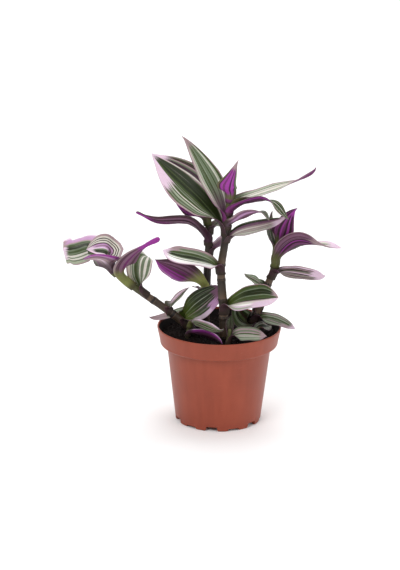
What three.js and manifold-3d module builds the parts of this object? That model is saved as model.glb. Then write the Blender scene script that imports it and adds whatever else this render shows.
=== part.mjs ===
import * as THREE from 'three';
import { mergeVertices } from 'three/addons/utils/BufferGeometryUtils.js';
import Module from 'manifold-3d';

// A potted tradescantia with striped leaves, in millimetres, +Z up.
// The origin is the centre of the pot's underside, and +Y points to the back.

const wasm = await Module();
wasm.setup();

// Pot: a 12 cm nursery pot with a collar, a skirt and drain notches
const POT_HEIGHT = 94.5;
const RIM_RADIUS = 60;
const COLLAR_RADIUS = 57.2;
const COLLAR_HEIGHT = 18;
const BODY_TOP_RADIUS = 50.6;
const BODY_BASE_RADIUS = 41.8;
const WALL = 1.6;
const FLOOR_HEIGHT = 4.6;
const FLOOR_THICKNESS = 1.8;
const SKIRT_WIDTH = 3.2;
const CENTRE_PAD_RADIUS = 11;
const NOTCH_COUNT = 12;
const NOTCH_WIDTH = 11.4;
const NOTCH_DEPTHS = [4.4, 2.4];
const NOTCH_TURN = 21;
const NOTCH_LENGTH = 12;
const POT_SEGMENTS = 60;

// Soil
const SOIL_TOP = 87;
const SOIL_EDGE = 85;
const SOIL_FLAT_RADIUS = 24;
const CLEARANCE = 0.35;
const WALL_CLEARANCE = 0.7;

// Leaves
const LEAF_THICKNESS = 0.7;
const COLUMNS = 6;
const BLADE_ROWS = 8;
// A sheath wraps its stem by this half angle at its foot and less at its mouth
const SHEATH_LENGTH = 4.5;
const SHEATH_GAP = 0.55;
const SHEATH_WRAP = 145;
const SHEATH_MOUTH = 104;
const SHEATH_FLARE = 1.12;
// A blade leaves the stem upward by the share RISE of its length, and the
// sheath's roll has opened to the half angle CUP by the share OPENED_AT. A
// blade with a late point keeps NECK_SHARE of that rise
const RISE = 0.22;
const NECK_SHARE = 0.5;
const CUP = 18;
const OPENED_AT = 0.3;
const WIDEST_AT = 0.42;
const TAPER = 1.8;
const BLADE_BASE_SHARE = 0.6;
const TIP_HALF_WIDTH = 0.45;

// Stems
const STEM_SIDES = 10;
const STEM_ROOT = 12;
const STEM_END_LENGTH = 6;
const STEM_END_TAPER = 0.6;
const JOINT_SWELL = 0.45;
const JOINT_HALF_LENGTH = 2.2;
const STATION_SPACING = 5;

const COLOURS = {
  pot: 0x9b503e,
  soil: 0x2a1c18,
  stem: 0x4a2f2b,
  striped: 0x7f8f76,
  purple: 0x8a3f86,
};

// Each stem is a curve through its points; joints are the heights of its rings
const STEMS = {
  main: {
    points: [
      [4, -18, 58], [4, -18, 85], [4, -18, 112], [2, -18, 136],
      [1, -18, 158], [4, -18, 182], [6, -18, 203], [9, -18, 228],
    ],
    radii: [4.7, 3.2],
    joints: [88, 108, 126, 146, 161],
  },
  back: {
    points: [
      [-15, 14, 58], [-14, 14, 85], [-13, 14, 116], [-12, 14, 146],
      [-11, 14, 180], [-13, 14, 206],
    ],
    radii: [4.6, 3.2],
    joints: [92, 112, 150],
  },
  left: {
    points: [
      [-8, 5, 66], [-22, 4, 84], [-39, 2, 100], [-58, 0, 115],
      [-79, -1, 130], [-98, -2, 145], [-111, -4, 160],
    ],
    radii: [4.5, 2.8],
    joints: [91, 104.5, 119],
  },
  right: {
    points: [
      [20, 8, 62], [27, 8, 84], [38, 8, 110], [46, 8, 132],
      [52, 8, 150], [56, 8, 172], [61, 8, 190],
    ],
    radii: [4.3, 2.9],
    joints: [104, 118, 134],
  },
  young: {
    points: [
      [7, -34, 68], [8, -34, 86], [10, -34, 102],
    ],
    radii: [2.4, 1.8],
    joints: [87.5],
  },
  low: {
    points: [
      [-33, -14, 68], [-31, -14, 86], [-28, -14, 102],
    ],
    radii: [2.2, 1.8],
    joints: [],
  },
  side: {
    points: [
      [34, -11, 68], [34, -9, 86], [35, -7, 95],
    ],
    radii: [2.2, 1.8],
    joints: [],
  },
};

// Leaf places: height is where the sheath starts on its stem; middle, late and
// tip are points of the midrib; face is the way the upper side looks. A
// negative cup bends the margins back, and purple ones show their underside
const LEAVES = [
  {
    name: 'main_leaf_01', stem: 'main', height: 112,
    middle: [29, -33, 132.5], tip: [55, -41, 136], width: 31, widest: 0.5, taper: 2.6,
    face: [0.1, -0.6, 0.8], tipFace: [0.5, -0.7, 0.5],
  },
  {
    name: 'main_leaf_02', stem: 'main', height: 152, sheath: 3.5,
    middle: [-23, -30, 169.5], tip: [-54, -32, 179], width: 30, widest: 0.28, taper: 3.4,
    face: [0, -0.4, 0.92], tipFace: [-0.2, -0.5, 0.85],
  },
  {
    name: 'main_leaf_03', stem: 'main', height: 183, sheath: 2, opened: 0.15,
    middle: [28, -17, 195.5], tip: [62, -25, 210.5], width: 20, cup: 30,
    face: [0, -0.45, 0.9],
  },
  {
    name: 'main_leaf_04', stem: 'main', height: 189, sheath: 4.2,
    middle: [-31.5, -2, 234.5], tip: [-66, 14, 261], width: 43, widest: 0.5,
    face: [-0.1, -0.85, 0.5], tipFace: [0, -0.7, 0.7],
  },
  {
    name: 'main_leaf_05', stem: 'main', height: 195.6, rise: 0.1,
    middle: [24, -29, 213.5], late: [38, -33, 217], tip: [45, -36, 210], width: 18, taper: 4,
    face: [-0.2, 0.6, 0.8], tipFace: [0.9, -0.5, 0.3], colour: 'purple',
  },
  {
    name: 'main_leaf_06', stem: 'main', height: 209.2, rise: 0.04,
    middle: [23, -26, 224], late: [45, -31, 227.5], tip: [63, -36, 211], width: 18, taper: 1.8,
    face: [-0.3, 0.5, 0.8], tipFace: [0.4, -0.9, 0.3], colour: 'purple',
  },
  {
    name: 'main_leaf_07', stem: 'main', height: 202.2, sheath: 3.4, opened: 0.18,
    middle: [-14.5, -7, 249.5], tip: [-37.5, 0, 281], width: 24, taper: 1.3,
    face: [0.3, -0.85, 0.3], colour: 'purple',
  },
  {
    name: 'main_leaf_08', stem: 'main', height: 215.5, rise: 0.1,
    middle: [50, -10, 234], tip: [89, -6, 254], width: 19,
    face: [-0.1, -0.2, 0.97], tipFace: [0, 0.8, 0.6],
  },
  {
    name: 'main_leaf_09', stem: 'main', height: 221.8,
    middle: [5.5, -25, 239], late: [10.5, -25, 252.5], tip: [15.5, -24, 264.5], width: 19.5,
    widest: 0.36, taper: 0.72, face: [0, 0.98, 0.2],
  },
  {
    name: 'back_leaf_01', stem: 'back', height: 97,
    middle: [-42, 18, 100], tip: [-68, 11, 99], width: 13,
    face: [0, -0.35, 0.94],
  },
  {
    name: 'back_leaf_02', stem: 'back', height: 124, rise: 0.12, opened: 0.22,
    middle: [-38, 1, 147], tip: [-62, -6, 162], width: 31,
    face: [0.1, 0.9, 0.4], colour: 'purple',
  },
  {
    name: 'back_leaf_03', stem: 'back', height: 160,
    middle: [6, 20, 176], tip: [18, 22, 179], width: 14,
    face: [0, -0.3, 0.9],
  },
  {
    name: 'back_leaf_04', stem: 'back', height: 171, rise: 0.1,
    middle: [-30, 4, 197], late: [-60, 4, 198], tip: [-81, 4, 206], width: 17, widest: 0.25,
    face: [0.2, 0.75, 0.65], tipFace: [0, 0.8, 0.5], colour: 'purple',
  },
  {
    name: 'back_leaf_05', stem: 'back', height: 182,
    middle: [4, 14, 196], tip: [18, 14, 196], width: 15,
    face: [0, -0.3, 0.9],
  },
  {
    name: 'back_leaf_06', stem: 'back', height: 191,
    middle: [-30, 9, 207], tip: [-42, 5, 215], width: 16,
    face: [0, 0.9, 0.4], colour: 'purple',
  },
  {
    name: 'back_leaf_07', stem: 'back', height: 197,
    middle: [-17, 36, 218], tip: [-22, 58, 224], width: 22,
    face: [0, -0.5, 0.85],
  },
  {
    name: 'back_leaf_08', stem: 'back', height: 116,
    middle: [-17, 36, 122], tip: [-18, 54, 112], width: 20,
    face: [0, -0.2, 0.97], tipFace: [0, 0.5, 0.8],
  },
  {
    name: 'left_leaf_01', stem: 'left', height: 157.3, opened: 0.4, cup: -42,
    middle: [-126, 4, 173], late: [-139, -1, 173], tip: [-151.5, -4, 170], width: 36, taper: 9,
    face: [0, -0.5, 0.85], tipFace: [0, -0.7, 0.7],
  },
  {
    name: 'left_leaf_02', stem: 'left', height: 151, sheath: 3.8,
    middle: [-105.5, -12, 172.5], tip: [-127, -16, 174], width: 27, taper: 2.4,
    face: [0.2, -0.6, 0.75], tipFace: [-0.2, -0.8, 0.5],
  },
  {
    name: 'left_leaf_03', stem: 'left', height: 145.6, sheath: 3.6,
    middle: [-109, -28.5, 167], tip: [-129, -37, 170], width: 25, widest: 0.3,
    face: [0, 0.8, 0.6], colour: 'purple',
  },
  {
    name: 'left_leaf_04', stem: 'left', height: 132.8, sheath: 8,
    middle: [-84, -17.5, 168], tip: [-57, -26, 188], width: 29, widest: 0.1, taper: 0.7,
    face: [-0.3, 0.9, 0.3], colour: 'purple',
  },
  {
    name: 'left_leaf_05', stem: 'left', height: 123.1,
    middle: [-78, 4, 150.5], tip: [-69.5, 20, 157], width: 25, widest: 0.6, taper: 2.6,
    face: [0, -0.95, 0.2], tipFace: [0, -0.3, 0.95],
  },
  {
    name: 'left_leaf_06', stem: 'left', height: 107, sheath: 2.5, rise: 0.05, opened: 0.15,
    middle: [-40, -3, 124], tip: [-29, -5, 134], width: 8,
    face: [-0.5, -0.6, 0.6],
  },
  {
    name: 'left_leaf_07', stem: 'left', height: 92.6, rise: 0.12,
    middle: [-13, -3, 121], tip: [-3, 0, 137], width: 27,
    face: [-0.2, -0.95, 0.2],
  },
  {
    name: 'low_leaf_01', stem: 'low', height: 88, sheath: 3, rise: 0.05, opened: 0.3,
    middle: [-14, -27, 94], tip: [2.5, -39, 88.5], width: 14,
    face: [0, 0.9, 0.4], colour: 'purple',
  },
  {
    name: 'low_leaf_02', stem: 'low', height: 96,
    middle: [-12, -28, 102], tip: [4, -32, 101.5], width: 13,
    face: [0, -0.3, 0.95], colour: 'purple',
  },
  {
    name: 'right_leaf_01', stem: 'right', height: 95,
    middle: [54.5, 0, 99.8], tip: [73, -12, 95.5], width: 17,
    face: [0, -0.4, 0.9],
  },
  {
    name: 'right_leaf_02', stem: 'right', height: 89.5, rise: 0.05,
    middle: [22, -4, 104], tip: [17, -4, 119], width: 20,
    face: [0, -1, 0.1],
  },
  {
    name: 'right_leaf_03', stem: 'right', height: 125,
    middle: [33, 2, 140], tip: [24, -2, 148], width: 12,
    face: [0, -0.5, 0.85],
  },
  {
    name: 'right_leaf_04', stem: 'right', height: 140,
    middle: [76, -8, 150], tip: [100, -18, 151.5], width: 18, taper: 4,
    face: [0, -0.5, 0.9],
  },
  {
    name: 'right_leaf_05', stem: 'right', height: 151, cup: 40,
    middle: [72, -6, 179.5], late: [92, -9, 179.5], tip: [115, -12, 177], width: 26, widest: 0.32,
    taper: 2.6, face: [0, 0.7, 0.55], tipFace: [0.1, -0.6, 0.8],
  },
  {
    name: 'right_leaf_06', stem: 'right', height: 163,
    middle: [49, 14, 182], tip: [50, 18, 205], width: 18,
    face: [0.9, -0.5, 0],
  },
  {
    name: 'right_leaf_07', stem: 'right', height: 171,
    middle: [61, -2, 196], tip: [72.5, -6, 214], width: 22, widest: 0.36, taper: 1.3,
    face: [0, 0.9, 0.3], colour: 'purple',
  },
  {
    name: 'right_leaf_08', stem: 'right', height: 178.2,
    middle: [62, 26, 192], tip: [58, 44, 184], width: 18,
    face: [0, -0.2, 0.97], tipFace: [0, 0.6, 0.8],
  },
  {
    name: 'right_leaf_09', stem: 'right', height: 106,
    middle: [32, 28, 116], tip: [28, 47, 110], width: 19,
    face: [0, -0.2, 0.97], tipFace: [0, 0.5, 0.8],
  },
  {
    name: 'side_leaf_01', stem: 'side', height: 88.5,
    middle: [43, -1, 94], tip: [50, 8, 92], width: 14,
    face: [0, -0.5, 0.85],
  },
  {
    name: 'young_leaf_01', stem: 'young', height: 88,
    middle: [27, -33, 96], tip: [45, -33.5, 95], width: 21, taper: 2.4,
    face: [0, -0.4, 0.9],
  },
  {
    name: 'young_leaf_02', stem: 'young', height: 95,
    middle: [10, -30, 107], tip: [11, -29, 114], width: 8,
    face: [0, -0.9, 0.4],
  },
];

const toRadians = (degrees) => degrees * Math.PI / 180;
const mix = (a, b, share) => a + (b - a) * share;

function smooth(value) {
  const share = Math.min(1, Math.max(0, value));
  return share * share * (3 - 2 * share);
}

function solidFromGeometry(geometry) {
  geometry.deleteAttribute('normal');
  geometry.deleteAttribute('uv');
  const merged = mergeVertices(geometry, 1e-4);
  return new wasm.Manifold(new wasm.Mesh({
    numProp: 3,
    vertProperties: new Float32Array(merged.attributes.position.array),
    triVerts: new Uint32Array(merged.index.array),
  }));
}

function geometryFromSolid(solid) {
  const mesh = solid.getMesh();
  const geometry = new THREE.BufferGeometry();
  geometry.setAttribute('position', new THREE.BufferAttribute(mesh.vertProperties, 3));
  geometry.setIndex(new THREE.BufferAttribute(mesh.triVerts, 1));
  geometry.computeVertexNormals();
  return geometry;
}

// A lathe turns about Y, so its result is stood up along Z
function turned(profile, segments) {
  const points = profile.map(([radius, height]) => new THREE.Vector2(radius, height));
  return new THREE.LatheGeometry(points, segments).rotateX(Math.PI / 2);
}

// The drain notches are cut from outside into the skirt that the pot stands on
function potGeometry() {
  const collarBottom = POT_HEIGHT - COLLAR_HEIGHT;
  const floorTop = FLOOR_HEIGHT + FLOOR_THICKNESS;
  const body = solidFromGeometry(turned([
    [0, 0],
    [CENTRE_PAD_RADIUS, 0],
    [CENTRE_PAD_RADIUS, FLOOR_HEIGHT],
    [BODY_BASE_RADIUS - SKIRT_WIDTH, FLOOR_HEIGHT],
    [BODY_BASE_RADIUS - SKIRT_WIDTH, 0],
    [BODY_BASE_RADIUS - 1, 0],
    [BODY_BASE_RADIUS, 2],
    [BODY_TOP_RADIUS, collarBottom],
    [COLLAR_RADIUS - 3, collarBottom],
    [COLLAR_RADIUS - 0.9, collarBottom + 0.9],
    [COLLAR_RADIUS, collarBottom + 3],
    [RIM_RADIUS, POT_HEIGHT - 1.2],
    [RIM_RADIUS - 0.4, POT_HEIGHT - 0.3],
    [RIM_RADIUS - 1, POT_HEIGHT],
    [RIM_RADIUS - WALL, POT_HEIGHT - 0.5],
    [COLLAR_RADIUS - WALL, collarBottom + 2.6],
    [BODY_TOP_RADIUS - WALL, collarBottom + WALL],
    [BODY_BASE_RADIUS - WALL, floorTop],
    [0, floorTop],
  ], POT_SEGMENTS));
  const notches = [];
  for (let i = 0; i < NOTCH_COUNT; i += 1) {
    const depth = NOTCH_DEPTHS[i % NOTCH_DEPTHS.length];
    const box = new THREE.BoxGeometry(NOTCH_LENGTH, NOTCH_WIDTH, depth + 1);
    box.translate(BODY_BASE_RADIUS, 0, (depth - 1) / 2);
    box.rotateZ(toRadians(NOTCH_TURN + i * 360 / NOTCH_COUNT));
    notches.push(solidFromGeometry(box));
  }
  return geometryFromSolid(notches.reduce((pot, notch) => pot.subtract(notch), body));
}

function curveOf(stem) {
  const points = stem.points.map((point) => new THREE.Vector3(...point));
  return new THREE.CatmullRomCurve3(points, false, 'catmullrom', 0.5);
}

// The stems rise all the way, so a height names one point of the curve
function shareAtHeight(curve, height) {
  let low = 0;
  let high = 1;
  for (let i = 0; i < 30; i += 1) {
    const middle = (low + high) / 2;
    if (curve.getPoint(middle).z < height) low = middle;
    else high = middle;
  }
  return (low + high) / 2;
}

function stemRadius(stem, share) {
  return mix(stem.radii[0], stem.radii[1], share);
}

// A closed skin over rings of points, with a fan at each end
function skinOfRings(rings) {
  const sides = rings[0].length;
  const positions = [];
  const indices = [];
  rings.flat().forEach((point) => positions.push(point.x, point.y, point.z));
  for (let ring = 0; ring + 1 < rings.length; ring += 1) {
    for (let side = 0; side < sides; side += 1) {
      const a = ring * sides + side;
      const b = ring * sides + (side + 1) % sides;
      indices.push(a, b, b + sides, a, b + sides, a + sides);
    }
  }
  const last = (rings.length - 1) * sides;
  for (let side = 1; side + 1 < sides; side += 1) {
    indices.push(0, side + 1, side);
    indices.push(last, last + side, last + side + 1);
  }
  const geometry = new THREE.BufferGeometry();
  geometry.setAttribute('position', new THREE.Float32BufferAttribute(positions, 3));
  geometry.setIndex(indices);
  geometry.computeVertexNormals();
  return geometry;
}

// Rings stand at a stem's ends, joints and points; growth widens it for its hole
function stemGeometry(stem, growth = 0) {
  const curve = curveOf(stem);
  const bottom = stem.points[0][2];
  const top = stem.points.at(-1)[2];
  const stations = [
    [bottom, 0],
    [bottom + STEM_ROOT, 0],
    [top - STEM_END_LENGTH, 0],
    [top, -STEM_END_TAPER],
  ];
  for (const joint of stem.joints) {
    stations.push([joint - JOINT_HALF_LENGTH, 0]);
    stations.push([joint, JOINT_SWELL]);
    stations.push([joint + JOINT_HALF_LENGTH, 0]);
  }
  for (const [, , height] of stem.points.slice(1, -1)) {
    const near = stations.some(([other]) => Math.abs(other - height) < STATION_SPACING);
    if (!near) stations.push([height, 0]);
  }
  stations.sort((one, other) => one[0] - other[0]);
  const rings = stations.map(([height, swell]) => {
    const share = shareAtHeight(curve, height);
    const centre = curve.getPoint(share);
    const along = curve.getTangent(share);
    const across = new THREE.Vector3(0, -1, 0).cross(along).normalize();
    const other = new THREE.Vector3().crossVectors(along, across);
    const radius = stemRadius(stem, share) + swell + growth;
    return Array.from({ length: STEM_SIDES }, (_, side) => {
      const angle = side * 2 * Math.PI / STEM_SIDES;
      return centre.clone()
        .addScaledVector(across, radius * Math.cos(angle))
        .addScaledVector(other, radius * Math.sin(angle));
    });
  });
  return skinOfRings(rings);
}

// The soil fills the pot to the collar and stays clear of the wall and the stems
function soilGeometry() {
  const collarBottom = POT_HEIGHT - COLLAR_HEIGHT;
  const slope = (RIM_RADIUS - COLLAR_RADIUS) / (COLLAR_HEIGHT - 3);
  const inset = WALL + WALL_CLEARANCE;
  const bottom = FLOOR_HEIGHT + FLOOR_THICKNESS + CLEARANCE;
  const edge = COLLAR_RADIUS - inset + slope * (SOIL_EDGE - collarBottom - 3);
  const soil = solidFromGeometry(turned([
    [0, bottom],
    [BODY_BASE_RADIUS - inset, bottom],
    [BODY_TOP_RADIUS - inset, collarBottom + WALL],
    [COLLAR_RADIUS - inset, collarBottom + WALL + 2],
    [edge, SOIL_EDGE],
    [edge - 8, SOIL_TOP - 0.8],
    [SOIL_FLAT_RADIUS, SOIL_TOP],
    [0, SOIL_TOP - 0.4],
  ], POT_SEGMENTS));
  const holes = Object.values(STEMS).map((stem) => stemGeometry(stem, CLEARANCE));
  return geometryFromSolid(holes.map(solidFromGeometry).reduce(
    (rest, hole) => rest.subtract(hole),
    soil,
  ));
}

// Half width of a blade, as a share of its widest half width
function bladeShare(along, widest = WIDEST_AT, taper = TAPER) {
  if (along < widest) {
    return 1 - (1 - BLADE_BASE_SHARE) * (1 - along / widest) ** 2;
  }
  return 1 - ((along - widest) / (1 - widest)) ** taper;
}

function perpendicular(vector, axis) {
  return vector.clone().addScaledVector(axis, -vector.dot(axis)).normalize();
}

// The midrib leaves the sheath's mouth upward and bends over to the tip
function midribOf(leaf, start, rising) {
  const middle = new THREE.Vector3(...leaf.middle);
  const tip = new THREE.Vector3(...leaf.tip);
  const length = start.distanceTo(middle) + middle.distanceTo(tip);
  const lift = rising.clone().multiplyScalar(length * (leaf.rise ?? RISE));
  if (leaf.late) {
    const late = new THREE.Vector3(...leaf.late);
    const neck = start.clone().addScaledVector(lift, NECK_SHARE);
    return new THREE.CatmullRomCurve3([start, neck, middle, late, tip], false, 'catmullrom', 0.5);
  }
  const firstPull = start.clone().add(lift);
  // A cubic curve's halfway point is 1/8, 3/8, 3/8 and 1/8 of its four points
  const secondPull = middle.clone()
    .addScaledVector(start, -0.125)
    .addScaledVector(firstPull, -0.375)
    .addScaledVector(tip, -0.125)
    .divideScalar(0.375);
  return new THREE.CubicBezierCurve3(start, firstPull, secondPull, tip);
}

// The midrib's places, from the foot of the sheath to the tip of the blade
function leafStations(leaf) {
  const stem = STEMS[leaf.stem];
  const stemCurve = curveOf(stem);
  const sheathLength = leaf.sheath ?? SHEATH_LENGTH;
  const middle = new THREE.Vector3(...leaf.middle);
  const stations = [];
  let start;
  let rising;
  let outward;
  for (const wrap of [SHEATH_WRAP, SHEATH_MOUTH]) {
    const height = leaf.height + (wrap === SHEATH_MOUTH ? sheathLength : 0);
    const share = shareAtHeight(stemCurve, height);
    const axis = stemCurve.getPoint(share);
    rising = stemCurve.getTangent(share);
    outward = perpendicular(middle.clone().sub(axis), rising);
    const clear = stemRadius(stem, share) + SHEATH_GAP;
    const snug = clear / Math.cos(toRadians(SHEATH_WRAP / COLUMNS));
    const radius = snug * (wrap === SHEATH_MOUTH ? SHEATH_FLARE : 1);
    start = axis.addScaledVector(outward, radius);
    stations.push({
      centre: start,
      along: rising,
      face: outward.clone().negate(),
      wrap: toRadians(wrap),
      half: radius * toRadians(wrap),
    });
  }
  const midrib = midribOf(leaf, start, rising);
  const sheathHalf = stations[1].half;
  const faces = [
    outward.clone().negate(),
    new THREE.Vector3(...leaf.face).normalize(),
    new THREE.Vector3(...(leaf.tipFace ?? leaf.face)).normalize(),
  ];
  for (let row = 1; row <= BLADE_ROWS; row += 1) {
    const share = row / BLADE_ROWS;
    const along = midrib.getTangentAt(share);
    const half = share < 0.5 ? 0 : 1;
    const towards = faces[half].clone().lerp(faces[half + 1], share * 2 - half);
    const opened = smooth(share / (leaf.opened ?? OPENED_AT));
    const width = leaf.width * bladeShare(share, leaf.widest, leaf.taper);
    const blade = Math.max(TIP_HALF_WIDTH, width / 2);
    stations.push({
      centre: midrib.getPointAt(share),
      along,
      face: perpendicular(towards, along),
      wrap: toRadians(mix(SHEATH_MOUTH, leaf.cup ?? CUP, opened)),
      half: mix(sheathHalf, blade, opened),
    });
  }
  return stations;
}

// Each station becomes an arc of points above and a like arc below
function leafGeometry(leaf) {
  const rings = leafStations(leaf).map(({ centre, along, face, wrap, half }) => {
    const across = new THREE.Vector3().crossVectors(along, face);
    const radius = half / wrap;
    const upper = [];
    const lower = [];
    for (let column = 0; column <= COLUMNS; column += 1) {
      const angle = wrap * (column / COLUMNS * 2 - 1);
      const inward = face.clone()
        .multiplyScalar(Math.cos(angle))
        .addScaledVector(across, -Math.sin(angle));
      const point = centre.clone()
        .addScaledVector(across, radius * Math.sin(angle))
        .addScaledVector(face, radius * (1 - Math.cos(angle)));
      upper.push(point);
      lower.push(point.clone().addScaledVector(inward, -LEAF_THICKNESS));
    }
    return [...upper, ...lower.reverse()];
  });
  return skinOfSheet(rings);
}

// A thin closed sheet: the upper and lower faces are split into triangles alike
function skinOfSheet(rings) {
  const count = rings[0].length;
  const positions = [];
  const indices = [];
  rings.flat().forEach((point) => positions.push(point.x, point.y, point.z));
  const addQuad = (a, b, c, d, flipped) => {
    if (flipped) indices.push(a, b, d, b, c, d);
    else indices.push(a, b, c, a, c, d);
  };
  for (let ring = 0; ring + 1 < rings.length; ring += 1) {
    for (let side = 0; side < count; side += 1) {
      const a = ring * count + side;
      const b = ring * count + (side + 1) % count;
      addQuad(a, b, b + count, a + count, side > COLUMNS);
    }
  }
  for (const ring of [0, rings.length - 1]) {
    const first = ring * count;
    for (let column = 0; column < COLUMNS; column += 1) {
      const a = first + column;
      const b = first + column + 1;
      const c = first + count - 2 - column;
      const d = first + count - 1 - column;
      if (ring === 0) indices.push(a, d, c, a, c, b);
      else indices.push(a, c, d, a, b, c);
    }
  }
  const geometry = new THREE.BufferGeometry();
  geometry.setAttribute('position', new THREE.Float32BufferAttribute(positions, 3));
  geometry.setIndex(indices);
  geometry.computeVertexNormals();
  return geometry;
}

function piece(name, geometry, colour, roughness) {
  const material = new THREE.MeshStandardMaterial({ color: colour, roughness, metalness: 0 });
  const mesh = new THREE.Mesh(geometry, material);
  mesh.name = name;
  return mesh;
}

const plant = new THREE.Group();
plant.name = 'potted_tradescantia';
plant.add(piece('pot', potGeometry(), COLOURS.pot, 0.45));
plant.add(piece('soil', soilGeometry(), COLOURS.soil, 0.95));
for (const [name, stem] of Object.entries(STEMS)) {
  plant.add(piece(`${name}_stem`, stemGeometry(stem), COLOURS.stem, 0.5));
}
for (const leaf of LEAVES) {
  plant.add(piece(leaf.name, leafGeometry(leaf), COLOURS[leaf.colour ?? 'striped'], 0.5));
}

export default plant;
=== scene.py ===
# A potted tradescantia with striped leaves, in metres, +Z up.
# Leaves, stems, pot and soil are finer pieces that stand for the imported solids.

import math
from types import SimpleNamespace

import bpy
import numpy as np
from mathutils import Matrix, Vector, noise


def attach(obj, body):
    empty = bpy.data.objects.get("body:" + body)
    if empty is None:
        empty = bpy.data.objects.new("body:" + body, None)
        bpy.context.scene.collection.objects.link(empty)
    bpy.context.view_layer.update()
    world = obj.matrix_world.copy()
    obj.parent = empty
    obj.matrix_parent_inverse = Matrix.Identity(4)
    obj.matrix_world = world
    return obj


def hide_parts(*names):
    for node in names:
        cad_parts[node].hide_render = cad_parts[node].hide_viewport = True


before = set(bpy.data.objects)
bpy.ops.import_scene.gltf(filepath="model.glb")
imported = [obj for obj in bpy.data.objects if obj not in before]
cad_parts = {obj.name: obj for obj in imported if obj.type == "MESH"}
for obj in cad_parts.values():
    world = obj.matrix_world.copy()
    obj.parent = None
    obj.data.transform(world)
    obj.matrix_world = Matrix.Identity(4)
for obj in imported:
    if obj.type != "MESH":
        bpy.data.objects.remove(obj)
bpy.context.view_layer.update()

MM = 0.001
BODY = "root"

# Pot, in millimetres and degrees
POT_HEIGHT = 94.5
RIM_RADIUS = 60.0
COLLAR_RADIUS = 57.2
COLLAR_HEIGHT = 18.0
COLLAR_ROUND = 2.6
COLLAR_SLOPE_FROM = 3.2
COLLAR_INSIDE_FROM = 3
LEDGE_EDGE = (0.25, 0.8)
RIM_INSET = 0.1
BODY_TOP_RADIUS = 50.6
BODY_BASE_RADIUS = 41.8
BODY_SLOPE_FROM = 2
FOOT_ROUND = 1.2
WALL = 1.6
FLOOR_HEIGHT = 4.6
FLOOR_THICKNESS = 1.8
SKIRT_WIDTH = 3.2
SKIRT_EDGE = 0.4
CENTRE_PAD_RADIUS = 11.0
PAD_EDGE = 0.5
NOTCH_COUNT = 12
NOTCH_WIDTH = 11.4
NOTCH_DEPTHS = (4.4, 2.4)
NOTCH_TURN = 21.0
NOTCH_EDGE = 0.9
POT_SEGMENTS = 360
POT_SMOOTH_UNDER = 35.0
# Painted shade on the pot's inside wall: it starts a little below the rim and fades in over a depth
SHADE_BELOW_RIM = 0.5
SHADE_FADE = 4.0

# Soil, in millimetres; lumps are pairs of scale and height
SOIL_TOP = 87.0
SOIL_EDGE = 85.0
SOIL_SAG = 0.4
SOIL_GAP = 0.3
SOIL_LEDGE_GAP = 0.2
SOIL_CORNER = (1.4, 0.5)
SOIL_EDGE_DEPTH = 0.6
SOIL_SEGMENTS = 120
SOIL_RINGS = 32
SOIL_LUMPS = ((0.09, 1.1), (0.35, 0.6), (0.9, 0.3))
LUMP_LAYER = 3.7
LUMPS_LOWERED = 0.5
LOOSE_DEPTH = 2
CRUMB_DENSITY = 420000.0
CRUMB_SIZES = (0.35, 1.3)
CRUMB_SEED = 11

# Leaves, in millimetres and degrees
LEAF_THICKNESS = 0.7
EDGE_THICKNESS = 0.3
EDGE_SHARPNESS = 5
TIP_THIN_FROM = 0.9
LEAF_COLUMNS = 22
LEAF_SMOOTH_UNDER = 50.0
SHEATH_ROWS = 6
BLADE_ROWS = 54
SHEATH_GAP = 0.55
SHEATH_WRAP = 145.0
SHEATH_MOUTH = 104.0
SHEATH_FLARE = 1.12
SHEATH_SPAN = 0.12
NECK_SHARE = 0.5
OPENED_AT = 0.3
BLADE_BASE_SHARE = 0.6
TIP_HALF_WIDTH = 0.25
BLUNT_FROM = 0.96
BLUNT_TAPER = 4.0
GROOVE_DEPTH = 0.35
GROOVE_WIDTH = 0.07
RIB_COUNT = 9
RIB_DEPTH = 0.06
WAVES = 1.6
WAVE_HEIGHT = 0.9
WAVE_LEAN = 1.3
WAVE_LEAF_WIDTH = 25
RIPPLE_FADE = 0.12
GOLDEN_TURN = 0.618

# Leaf markings; softness, drift and raggedness are shares of a leaf's width or length
VEIN_COUNT = 17
VEIN_SCALE = 44.0
RAGGEDNESS = 0.3
DRIFT = 0.07
DRIFT_SCALES = (5.0, 2.2)
STRIPE_SOFTNESS = 0.006
UNDER_SOFTNESS = 0.02
RAMP_STRIPES = 14
PATCH_SOFT_ACROSS = 0.02
PATCH_SOFT_ALONG = 0.04
PATTERN_SHIFT = 20

# Stems, in millimetres
CURVE_SAMPLES = 400
STEM_STEP = 0.8
STEM_SIDES = 28
STEM_UNEVENNESS = 0.5
STEM_END_ROUND = 2
STEM_END_CLOSED = 0.9
JOINT_SWELL = 0.45
JOINT_HALF_LENGTH = 1.3
BURIED_JOINT = 14
STEM_SHADE_LENGTH = 24.0
GREEN_FADE = 16

# Studio and camera, in metres, degrees and watts; a light has a place, an aim and a size
FLOOR_HALF_WIDTH = 4.0
FLOOR_FRONT = -3.0
SWEEP_START = 1.2
SWEEP_RADIUS = 1.2
BACKDROP_TOP = 3.0
WORLD_STRENGTH = 0.62
LIGHTS = [
    ("key_light", (-0.75, -1.3, 1.5), (0, 0, 0.14), 1.1, 17.0),
    ("fill_light", (1.3, -1.0, 0.8), (0, 0, 0.14), 1.2, 7.0),
    ("top_light", (0.1, 0.4, 1.7), (0, 0, 0.14), 1.2, 10.0),
    ("backdrop_light", (0.0, 1.0, 2.2), (0, 2.3, 0.7), 1.6, 16.0),
]
SENSOR_WIDTH = 36.0
IMAGE_HEIGHT = 570
CAMERA_ELEVATION = 17.05
CAMERA_ROLL = 0.6
CAMERA_FOCAL_PIXELS = 1869
CAMERA_TARGET = (-0.019, 0.0, 0.135)
CAMERA_DISTANCE = 1.8

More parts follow.
